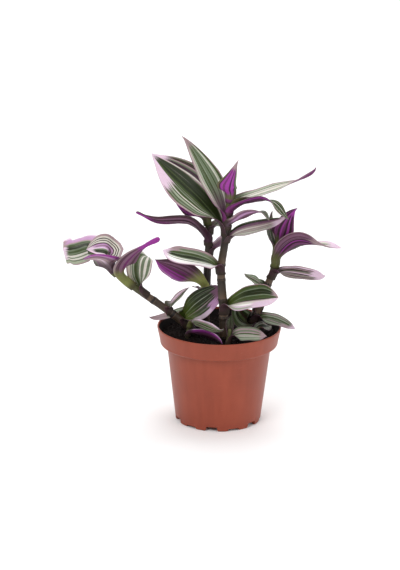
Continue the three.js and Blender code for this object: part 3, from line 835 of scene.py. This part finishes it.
def leaf_material(name, look, usual_sheath, shift):
    """Striped above and purple below, with veins that run along the leaf."""
    material, nodes, shader = new_material(
        f"{name}_skin", subsurface_weight=0.1, subsurface_radius=(1.0, 0.6, 0.4),
        subsurface_scale=0.002, specular_ior_level=0.24)
    marks = leaf_marks(nodes, shift)
    sheath_tone = look.get("sheath", usual_sheath)
    below = nodes.number("underside")
    skin = nodes.blend(below, upper_side(nodes, marks, look),
                       under_side(nodes, marks, look, sheath_tone))
    skin = nodes.blend(nodes.step(marks.v, 0.01, -0.04), skin, sheath_skin(nodes, marks, sheath_tone))
    skin = nodes.tint(skin, nodes.step(marks.side, 0.965, 0.995), 0.6, "mauve")
    mottle = nodes.grain(nodes.stretched(), scale=900.0)
    skin = nodes.blend(0.12, skin, nodes.ramp(mottle, [(0.3, 0.25), (0.7, 0.9)]), "OVERLAY")

    ribs = nodes.math("SINE", nodes.times(marks.u, 2 * math.pi * VEIN_COUNT))
    relief = nodes.plus(nodes.times(marks.veins, 0.9), ribs, 0.25)
    roughness = nodes.between(below, 0.36, 0.5)
    connect(nodes, shader, base_color=skin, roughness=nodes.plus(roughness, marks.veins, 0.14),
            normal=nodes.bump(nodes.plus(relief, mottle, 0.25), strength=0.5, distance=0.25 * MM))
    return material


def stem_material():
    """Brown stem with ring joints, paler above each joint and green near the leaves."""
    material, nodes, shader = new_material(
        "stem_skin", subsurface_weight=0.05, subsurface_scale=0.001, specular_ior_level=0.35)
    streaks = nodes.grain(nodes.stretched(900.0, 900.0, 70.0), detail=3.0, roughness=0.6)
    bark = nodes.ramp(nodes.plus(nodes.number("internode"), streaks, 0.2), [
        (0.0, "joint"), (0.15, "joint edge"), (0.2, "pale stem"),
        (0.5, "brown stem"), (0.85, "dull stem"), (1.0, "dark stem")])
    fresh = nodes.blend(nodes.step(streaks, 0.35, 0.7), colour("olive"), colour("fresh stem"))
    skin = nodes.blend(nodes.number("green"), bark, fresh)
    skin = nodes.tint(skin, nodes.step(streaks, 0.5, 0.75), 0.25, "light streak")
    skin = nodes.tint(skin, nodes.step(streaks, 0.45, 0.25), 0.5, "dark streak")
    speckle = nodes.grain(nodes.stretched(), scale=1600.0)
    connect(nodes, shader, base_color=skin, roughness=nodes.plus(0.38, speckle, 0.2),
            normal=nodes.bump(nodes.plus(streaks, speckle, 0.4), strength=0.5, distance=0.3 * MM))
    return material


def pot_material():
    """Satin moulded plastic with faint flow marks, scuffs, fine grain and painted shade on its inside
    wall.
    """
    material, nodes, shader = new_material("pot_plastic", specular_ior_level=0.38)
    clouds = nodes.grain(nodes.stretched(), scale=28.0, detail=3.0)
    flow = nodes.grain(nodes.stretched(160.0, 160.0, 9.0))
    grain = nodes.grain(nodes.stretched(), scale=2600.0)
    scuffs = nodes.grain(nodes.stretched(140.0, 140.0, 900.0), detail=4.0, roughness=0.7)
    skin = nodes.ramp(nodes.plus(nodes.times(clouds, 0.6), flow, 0.4), [
        (0.3, "deep clay"), (0.5, "clay"), (0.7, "light clay")])
    worn = nodes.step(scuffs, 0.62, 0.74)
    skin = nodes.tint(skin, worn, 0.22, "scuff")
    # Painted shade: the inside wall darkens below the rim, where it lies in shadow
    painted_shade = nodes.step(nodes.plus(nodes.number("painted_shade"), clouds, 0.5), 0.45, 0.8)
    skin = nodes.blend(painted_shade, skin, colour("painted_shade"))
    roughness = nodes.plus(nodes.plus(0.36, clouds, 0.16), worn, 0.12)
    relief = nodes.plus(nodes.times(flow, 0.8), grain, 0.5)
    connect(nodes, shader, base_color=skin, roughness=roughness,
            normal=nodes.bump(relief, strength=0.25, distance=0.12 * MM))
    return material


def soil_material(name, lightest):
    """Dark, dull peat with paler fibres and specks."""
    material, nodes, shader = new_material(name, specular_ior_level=0.15)
    lumps = nodes.grain(nodes.stretched(), scale=420.0, detail=4.0, roughness=0.65)
    fibres = nodes.grain(nodes.stretched(300.0, 1500.0, 900.0), detail=3.0)
    skin = nodes.ramp(lumps, [(0.3, "wet peat"), (0.55, "peat"), (0.75, lightest)])
    skin = nodes.tint(skin, nodes.step(fibres, 0.62, 0.75), 0.4, "fibre")
    connect(nodes, shader, base_color=skin, roughness=nodes.plus(0.86, fibres, 0.1),
            normal=nodes.bump(lumps, strength=0.8, distance=0.5 * MM))
    return material


def ripple(leaf, v, u):
    """How far the blade swells towards its upper side: groove, ribs and wavy margins."""
    side = 2 * u - 1
    spread = smooth(v / OPENED_AT) * smooth((1 - v) / RIPPLE_FADE)
    groove = -GROOVE_DEPTH * np.exp(-(side / GROOVE_WIDTH) ** 2)
    ribs = RIB_DEPTH * np.cos(math.pi * RIB_COUNT * side)
    turns = 2 * math.pi * (WAVES * v + leaf["turn"])
    waves = WAVE_HEIGHT * side ** 2 * np.sin(turns + WAVE_LEAN * side)
    return spread * (groove + ribs + waves * leaf["width"] / WAVE_LEAF_WIDTH)


def leaf_grid(leaf, stem):
    """Upper points, lower points and places (across, along) of a leaf's rows."""
    u = np.linspace(0, 1, LEAF_COLUMNS + 1)
    upper, lower, places = [], [], []
    for station in leaf_stations(leaf, stem):
        angle = station["wrap"] * (2 * u - 1)
        radius = station["half"] / station["wrap"]
        across = np.cross(station["along"], station["face"])
        sines, cosines = np.sin(angle)[:, None], np.cos(angle)[:, None]
        inward = station["face"] * cosines - across * sines
        points = station["centre"] + radius * (across * sines + station["face"] * (1 - cosines))
        points = points + inward * ripple(leaf, station["v"], u)[:, None]
        edge = np.abs(2 * u - 1) ** EDGE_SHARPNESS
        tip = smooth((station["v"] - TIP_THIN_FROM) / (1 - TIP_THIN_FROM))
        thickness = mix(LEAF_THICKNESS, EDGE_THICKNESS, np.maximum(edge, tip))
        upper.append(points)
        lower.append(points - inward * thickness[:, None])
        places.append(np.stack([u, np.full_like(u, station["v"])], -1))
    return np.array(upper), np.array(lower), np.array(places)


def grid_faces(grid):
    """Faces between the rows of a table of point numbers."""
    return [face for row, after in zip(grid, grid[1:])
            for face in zip(row, row[1:], after[1:], after)]


def sheet_faces(rows, columns):
    """Faces of a closed sheet whose upper points come first and lower ones after."""
    both = np.arange(2 * rows * columns).reshape(2, rows, columns)
    sides = [both[0], both[1].T]
    rims = [both[:, :, 0], both[:, :, -1].T, both[:, 0].T, both[:, -1]]
    return [face for grid in sides + rims for face in grid_faces(grid)]


def show(name, data):
    """A new object in the scene."""
    piece = bpy.data.objects.new(name, data)
    bpy.context.scene.collection.objects.link(piece)
    return piece


def new_piece(name, points, faces, smooth_under):
    """A mesh object from points in millimetres."""
    mesh = bpy.data.meshes.new(name)
    mesh.from_pydata((np.asarray(points) * MM).tolist(), [], faces)
    mesh.validate()
    mesh.shade_smooth()
    mesh.set_sharp_from_angle(angle=math.radians(smooth_under))
    return show(name, mesh)


def add_places(mesh, name, places):
    layer = mesh.uv_layers.new(name=name)
    corners = np.empty(len(mesh.loops), int)
    mesh.loops.foreach_get("vertex_index", corners)
    layer.data.foreach_set("uv", places[corners].ravel())


def add_numbers(mesh, name, values):
    layer = mesh.attributes.new(name, "FLOAT", "POINT")
    layer.data.foreach_set("value", np.asarray(values, np.float32))


def make_leaf(name, leaf, stem):
    upper, lower, places = leaf_grid(leaf, stem)
    rows, columns = upper.shape[:2]
    points = np.concatenate([upper.reshape(-1, 3), lower.reshape(-1, 3)])
    piece = new_piece(f"{name}_blade", points, sheet_faces(rows, columns), LEAF_SMOOTH_UNDER)
    flat = places.reshape(-1, 2)
    add_places(piece.data, "leaf", np.concatenate([flat, flat]))
    add_numbers(piece.data, "underside", np.repeat([0.0, 1.0], rows * columns))
    return piece


def lathe(name, profile, segments, reshape):
    """Turns a profile of (radius, height), which starts and ends on the axis."""
    points = [(0.0, 0.0, profile[0][1])]
    for radius, height in profile[1:-1]:
        for angle in np.arange(segments) * 2 * math.pi / segments:
            r, z = reshape(angle, radius, height)
            points.append((r * math.cos(angle), r * math.sin(angle), z))
    points.append((0.0, 0.0, profile[-1][1]))
    top = len(points) - 1
    faces = []
    rings = len(profile) - 2
    for side in range(segments):
        after = (side + 1) % segments
        faces.append((0, 1 + after, 1 + side))
        for ring in range(rings - 1):
            a, b = 1 + ring * segments + side, 1 + ring * segments + after
            faces.append((a, b, b + segments, a + segments))
        last = 1 + (rings - 1) * segments
        faces.append((last + side, last + after, top))
    return new_piece(name, points, faces, POT_SMOOTH_UNDER)


def arc(centre, radius, start, end, count):
    """Points of an arc, in degrees from outward to up."""
    angles = np.radians(np.linspace(start, end, count))
    return [(centre[0] + radius * math.cos(a), centre[1] + radius * math.sin(a)) for a in angles]


def slope(start, end, count):
    """Points of a straight slope."""
    return [(mix(start[0], end[0], share), mix(start[1], end[1], share))
            for share in np.linspace(0, 1, count)]


def pot_profile():
    """The pot's section, from the middle of its underside round the rim to its floor."""
    base, top, pad = BODY_BASE_RADIUS, BODY_TOP_RADIUS, CENTRE_PAD_RADIUS
    ledge = POT_HEIGHT - COLLAR_HEIGHT
    inner, skirt = COLLAR_RADIUS - WALL, base - SKIRT_WIDTH
    profile = [(0, 0), (pad - PAD_EDGE, 0), (pad, PAD_EDGE)]
    profile += [(pad, FLOOR_HEIGHT - PAD_EDGE), (pad + PAD_EDGE, FLOOR_HEIGHT)]
    profile += [(skirt, FLOOR_HEIGHT), (skirt, SKIRT_EDGE), (skirt + SKIRT_EDGE, 0)]
    profile += [(base - FOOT_ROUND, 0)]
    profile += arc((base - FOOT_ROUND, FOOT_ROUND), FOOT_ROUND, -75, -5, 5)
    profile += slope((base, BODY_SLOPE_FROM), (top, ledge - LEDGE_EDGE[1]), 24)
    profile += [(top + LEDGE_EDGE[0], ledge - LEDGE_EDGE[0]), (top + LEDGE_EDGE[1], ledge)]
    profile += [(COLLAR_RADIUS - COLLAR_ROUND - LEDGE_EDGE[1], ledge)]
    profile += arc((COLLAR_RADIUS - COLLAR_ROUND, ledge + COLLAR_ROUND), COLLAR_ROUND, -80, -8, 8)
    profile += slope((COLLAR_RADIUS, ledge + COLLAR_SLOPE_FROM),
                     (RIM_RADIUS - RIM_INSET, POT_HEIGHT - WALL), 10)
    profile += arc((RIM_RADIUS - WALL / 2, POT_HEIGHT - WALL / 2), WALL / 2, -20, 180, 10)
    profile += slope((RIM_RADIUS - WALL, POT_HEIGHT - WALL), (inner, ledge + COLLAR_INSIDE_FROM), 14)
    profile += [(inner - WALL, ledge + WALL), (top - WALL, ledge + WALL)]
    profile += [(base - WALL, FLOOR_HEIGHT + FLOOR_THICKNESS), (0, FLOOR_HEIGHT + FLOOR_THICKNESS)]
    return profile


def notched(angle, radius, height):
    """Lifts the skirt's lower edge where a drain notch crosses it."""
    if radius < BODY_BASE_RADIUS - SKIRT_WIDTH - 0.1 or height > max(NOTCH_DEPTHS):
        return radius, height
    spacing = 2 * math.pi / NOTCH_COUNT
    turn = angle - math.radians(NOTCH_TURN)
    nearest = round(turn / spacing)
    away = abs(turn - nearest * spacing) * BODY_BASE_RADIUS
    depth = NOTCH_DEPTHS[nearest % len(NOTCH_DEPTHS)]
    edge = smooth((NOTCH_WIDTH / 2 - away) / NOTCH_EDGE + 0.5)
    return radius, max(height, depth * float(edge))


def make_pot():
    """The pot, with a number for how much painted shade darkens its inside below the rim."""
    profile = pot_profile()
    piece = lathe("pot_shell", profile, POT_SEGMENTS, notched)
    rim = max(range(len(profile)), key=lambda i: profile[i][1])
    # How far below the rim each ring of the inside lies, for the painted shade
    depths = [POT_HEIGHT - height - SHADE_BELOW_RIM for _, height in profile]
    shade_amounts = [0.0 if i < rim else float(smooth(depth / SHADE_FADE))
              for i, depth in enumerate(depths)]
    around = np.repeat(shade_amounts[1:-1], POT_SEGMENTS)
    add_numbers(piece.data, "painted_shade", [shade_amounts[0], *around, shade_amounts[-1]])
    return piece


def soil_profile():
    """The soil's section, a gap inside the pot and a little lower in the middle."""
    ledge = POT_HEIGHT - COLLAR_HEIGHT
    inset = WALL + SOIL_GAP
    bottom = FLOOR_HEIGHT + FLOOR_THICKNESS + SOIL_GAP
    flare = (RIM_RADIUS - COLLAR_RADIUS) / (COLLAR_HEIGHT - COLLAR_INSIDE_FROM)
    edge = COLLAR_RADIUS - inset + flare * (SOIL_EDGE - ledge - COLLAR_INSIDE_FROM)
    profile = [(0, bottom), (BODY_BASE_RADIUS - inset, bottom)]
    profile += [(BODY_TOP_RADIUS - inset, ledge + WALL + SOIL_LEDGE_GAP)]
    profile += [(COLLAR_RADIUS - inset - SOIL_CORNER[0], ledge + WALL + SOIL_CORNER[1])]
    profile += [(COLLAR_RADIUS - inset, ledge + COLLAR_INSIDE_FROM)]
    profile += [(edge, SOIL_EDGE - SOIL_EDGE_DEPTH)]
    profile += [(edge * share, mix(SOIL_TOP - SOIL_SAG, SOIL_EDGE, share ** 3))
                for share in np.linspace(0.97, 0.03, SOIL_RINGS)]
    return profile + [(0, SOIL_TOP - SOIL_SAG)]


def heaped(angle, radius, height):
    """Lifts and lowers the soil's top in lumps of three sizes."""
    if height < SOIL_EDGE - 0.1:
        return radius, height
    x, y = radius * math.cos(angle), radius * math.sin(angle)
    lumps = sum(rise * noise.noise(Vector((x * scale, y * scale, LUMP_LAYER)))
                for scale, rise in SOIL_LUMPS)
    return radius, height + lumps - LUMPS_LOWERED


def make_soil_body():
    """The soil as one closed body, with a number for its loose, uneven top."""
    body = lathe("soil_bed", soil_profile(), SOIL_SEGMENTS, heaped)
    loose_from = (SOIL_EDGE - LOOSE_DEPTH) * MM
    add_numbers(body.data, "loose", [float(point.co.z > loose_from) for point in body.data.vertices])
    return body


def geometry_tree(name, inputs):
    """A Geometry Nodes tree with a geometry socket each way and the named inputs."""
    tree = bpy.data.node_groups.new(name, "GeometryNodeTree")
    tree.interface.new_socket("Geometry", in_out="INPUT", socket_type="NodeSocketGeometry")
    for label, kind in inputs.items():
        tree.interface.new_socket(label, in_out="INPUT", socket_type=f"NodeSocket{kind}")
    tree.interface.new_socket("Geometry", in_out="OUTPUT", socket_type="NodeSocketGeometry")
    nodes = Nodes(tree)
    return tree, nodes, nodes.add("NodeGroupInput").outputs


def close_tree(nodes, geometry, material):
    """Ends a tree with real geometry in its material."""
    real = nodes.first("GeometryNodeRealizeInstances", {0: geometry})
    dressed = nodes.first("GeometryNodeSetMaterial", {"Geometry": real, "Material": material})
    nodes.add("NodeGroupOutput", {0: dressed})


def apply_tree(piece, tree, values):
    """Runs a tree on a piece and keeps the result as its plain mesh."""
    modifier = piece.modifiers.new(tree.name, "NODES")
    modifier.node_group = tree
    for item in tree.interface.items_tree:
        if item.in_out == "INPUT" and item.name in values:
            modifier[item.identifier] = values[item.name]
    piece.update_tag()
    graph = bpy.context.evaluated_depsgraph_get()
    result = bpy.data.meshes.new_from_object(piece.evaluated_get(graph), depsgraph=graph)
    piece.modifiers.clear()
    piece.data = result
    return piece


def named_number(nodes, name):
    return nodes.first("GeometryNodeInputNamedAttribute", {"Name": name}, data_type="FLOAT")


def random_vector(nodes, low, high, seed):
    return nodes.first("FunctionNodeRandomValue", {"Min": low, "Max": high, "Seed": seed},
                       data_type="FLOAT_VECTOR")


def scaled(nodes, vector, scale):
    return nodes.first("ShaderNodeVectorMath", {0: vector, "Scale": scale}, operation="SCALE")


def moved(nodes, geometry, offset):
    return nodes.first("GeometryNodeSetPosition", {"Geometry": geometry, "Offset": offset})


def stem_tree():
    """Sweeps a round section along a stem's line; thickness is read from the line."""
    tree, nodes, given = geometry_tree("swept_stem", {
        "Sides": "Int", "Unevenness": "Float", "Material": "Material"})
    line = nodes.first("GeometryNodeMeshToCurve", {"Mesh": given["Geometry"]})
    section = nodes.first("GeometryNodeCurvePrimitiveCircle",
                          {"Resolution": given["Sides"], "Radius": 1.0})
    swept = nodes.first("GeometryNodeCurveToMesh", {
        "Curve": line, "Profile Curve": section, "Scale": named_number(nodes, "thickness"),
        "Fill Caps": True})
    bumps = nodes.first("ShaderNodeTexNoise", {"Scale": 260.0, "Detail": 2.0})
    height = nodes.times(nodes.math("SUBTRACT", bumps, 0.5), given["Unevenness"])
    uneven = moved(nodes, swept, scaled(nodes, nodes.first("GeometryNodeInputNormal"), height))
    skin = nodes.first("GeometryNodeSetShadeSmooth", {"Geometry": uneven})
    close_tree(nodes, skin, given["Material"])
    return tree


def crumb_tree():
    """Strews small clods over the loose top of the soil."""
    tree, nodes, given = geometry_tree("strewn_crumbs", {
        "Density": "Float", "Smallest": "Float", "Largest": "Float", "Seed": "Int",
        "Material": "Material"})
    spots = nodes.first("GeometryNodeDistributePointsOnFaces", {
        "Mesh": given["Geometry"], "Seed": given["Seed"],
        "Density": nodes.times(named_number(nodes, "loose"), given["Density"])})
    clod = nodes.first("GeometryNodeMeshIcoSphere", {"Radius": 1.0, "Subdivisions": 1})
    dents = nodes.add("ShaderNodeTexNoise", {"Scale": 1.7}, noise_dimensions="3D").outputs[1]
    centred = nodes.first("ShaderNodeVectorMath", {0: dents, 1: (0.5, 0.5, 0.5)},
                          operation="SUBTRACT")
    chance = nodes.add("FunctionNodeRandomValue", {"Seed": 3}, data_type="FLOAT").outputs[1]
    size = nodes.between(nodes.math("POWER", chance, 3.0), given["Smallest"], given["Largest"])
    stretch = random_vector(nodes, (0.7, 0.7, 0.5), (1.4, 1.1, 0.9), 5)
    strewn = nodes.first("GeometryNodeInstanceOnPoints", {
        "Points": spots, "Instance": moved(nodes, clod, centred),
        "Rotation": random_vector(nodes, (0.0, 0.0, 0.0), (6.28, 6.28, 6.28), given["Seed"]),
        "Scale": scaled(nodes, stretch, size)})
    close_tree(nodes, strewn, given["Material"])
    return tree


def make_stem(name, stem, tree, material):
    """A stem's line with its thickness, its place between joints and its freshness."""
    curve = StemCurve(stem["points"])
    foot, top = stem["points"][0][2], stem["points"][-1][2]
    heights = np.linspace(foot, top, round((top - foot) / STEM_STEP))
    joints = [foot - BURIED_JOINT] + stem["joints"]
    points, thickness, internode = [], [], []
    for height in heights:
        share = curve.share_at(height)
        points.append(curve.point(share))
        swell = sum(math.exp(-((height - joint) / JOINT_HALF_LENGTH) ** 2)
                    for joint in stem["joints"])
        ended = 1 - min((top - height) / STEM_END_ROUND, 1)
        rounding = math.sqrt(1 - ended ** 2 * STEM_END_CLOSED)
        thickness.append((stem_radius(stem, share) + JOINT_SWELL * swell) * rounding)
        below = max(joint for joint in joints if joint <= height)
        internode.append(min((height - below) / STEM_SHADE_LENGTH, 1))
    mesh = bpy.data.meshes.new(name)
    mesh.from_pydata((np.array(points) * MM).tolist(),
                     [(i, i + 1) for i in range(len(points) - 1)], [])
    add_numbers(mesh, "thickness", np.array(thickness) * MM)
    add_numbers(mesh, "internode", internode)
    add_numbers(mesh, "green", smooth((heights - stem["green_from"]) / GREEN_FADE + 0.5))
    return apply_tree(show(name, mesh), tree, {
        "Sides": STEM_SIDES, "Unevenness": STEM_UNEVENNESS * MM, "Material": material})


def make_crumbs(bed):
    smallest, largest = CRUMB_SIZES
    return apply_tree(show("soil_crumbs", bed.data.copy()), crumb_tree(), {
        "Density": CRUMB_DENSITY, "Smallest": smallest * MM, "Largest": largest * MM,
        "Seed": CRUMB_SEED, "Material": soil_material("soil_crumb", "crumb")})


def place(piece, node, slot):
    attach(piece, BODY)
    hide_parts(node)


def make_plant():
    pot = make_pot()
    pot.data.materials.append(pot_material())
    place(pot, "pot", "pot")
    bed = make_soil_body()
    bed.data.materials.append(soil_material("soil_peat", "dry peat"))
    place(bed, "soil", "soil")
    place(make_crumbs(bed), "soil", "soil")
    bark = stem_material()
    sweep = stem_tree()
    for name, stem in STEMS.items():
        place(make_stem(f"{name}_stalk", stem, sweep, bark), f"{name}_stem", "stem")
    for number, (name, leaf) in enumerate(LEAVES.items()):
        stem = STEMS[name.split("_")[0]]
        turn = number * GOLDEN_TURN % 1
        blade = make_leaf(name, leaf | {"turn": turn}, stem)
        sheath_tone = "olive" if leaf["height"] > stem["green_from"] else "bark"
        skin = leaf_material(name, LOOKS[name], sheath_tone, PATTERN_SHIFT * turn)
        blade.data.materials.append(skin)
        place(blade, name, "leaf")


def make_floor():
    """A pale floor that sweeps up into a backdrop."""
    profile = [(y, 0.0) for y in np.linspace(FLOOR_FRONT, SWEEP_START, 8)]
    profile += [(SWEEP_START + SWEEP_RADIUS * math.sin(a), SWEEP_RADIUS - SWEEP_RADIUS * math.cos(a))
                for a in np.linspace(0.1, math.pi / 2, 16)]
    profile += [(SWEEP_START + SWEEP_RADIUS, BACKDROP_TOP)]
    points = [(x, y, z) for y, z in profile for x in (-FLOOR_HALF_WIDTH, FLOOR_HALF_WIDTH)]
    faces = [(2 * i, 2 * i + 1, 2 * i + 3, 2 * i + 2) for i in range(len(profile) - 1)]
    mesh = bpy.data.meshes.new("studio_floor")
    mesh.from_pydata(points, [], faces)
    mesh.shade_smooth()
    material, nodes, shader = new_material("studio_white", roughness=0.9)
    shade = nodes.grain(nodes.stretched(), scale=3.0)
    connect(nodes, shader, base_color=nodes.ramp(shade, [(0.3, 0.93), (0.7, 0.95)]))
    mesh.materials.append(material)
    floor = show("studio_floor", mesh)


def soft_light(name, place_at, target, size, watts):
    light = bpy.data.lights.new(name, "AREA")
    light.shape = "DISK"
    light.size = size
    light.energy = watts
    lamp = show(name, light)
    lamp.location = place_at
    lamp.rotation_euler = (Vector(target) - Vector(place_at)).to_track_quat("-Z", "Y").to_euler()


def make_studio():
    make_floor()
    world = bpy.data.worlds.new("studio_air")
    world.use_nodes = True
    backdrop = world.node_tree.nodes["Background"]
    backdrop.inputs["Color"].default_value = (1, 1, 1, 1)
    backdrop.inputs["Strength"].default_value = WORLD_STRENGTH
    bpy.context.scene.world = world
    for light in LIGHTS:
        soft_light(*light)
    bpy.context.scene.view_settings.view_transform = "Standard"


def make_camera():
    """A long lens, a little above the plant, aimed at the middle of its height."""
    tilt, roll = math.radians(CAMERA_ELEVATION), math.radians(CAMERA_ROLL)
    back = Vector((0, -math.cos(tilt), math.sin(tilt)))
    level = Vector((1, 0, 0))
    upright = back.cross(level)
    right = level * math.cos(roll) + upright * math.sin(roll)
    up = upright * math.cos(roll) - level * math.sin(roll)
    lens = bpy.data.cameras.new("camera")
    lens.sensor_width = SENSOR_WIDTH
    lens.lens = SENSOR_WIDTH * CAMERA_FOCAL_PIXELS / IMAGE_HEIGHT
    camera = show("camera", lens)
    turn = Matrix((right, up, back)).transposed()
    place_at = Vector(CAMERA_TARGET) + back * CAMERA_DISTANCE
    camera.matrix_world = Matrix.Translation(place_at) @ turn.to_4x4()
    bpy.context.scene.camera = camera


make_camera()
make_studio()
make_plant()
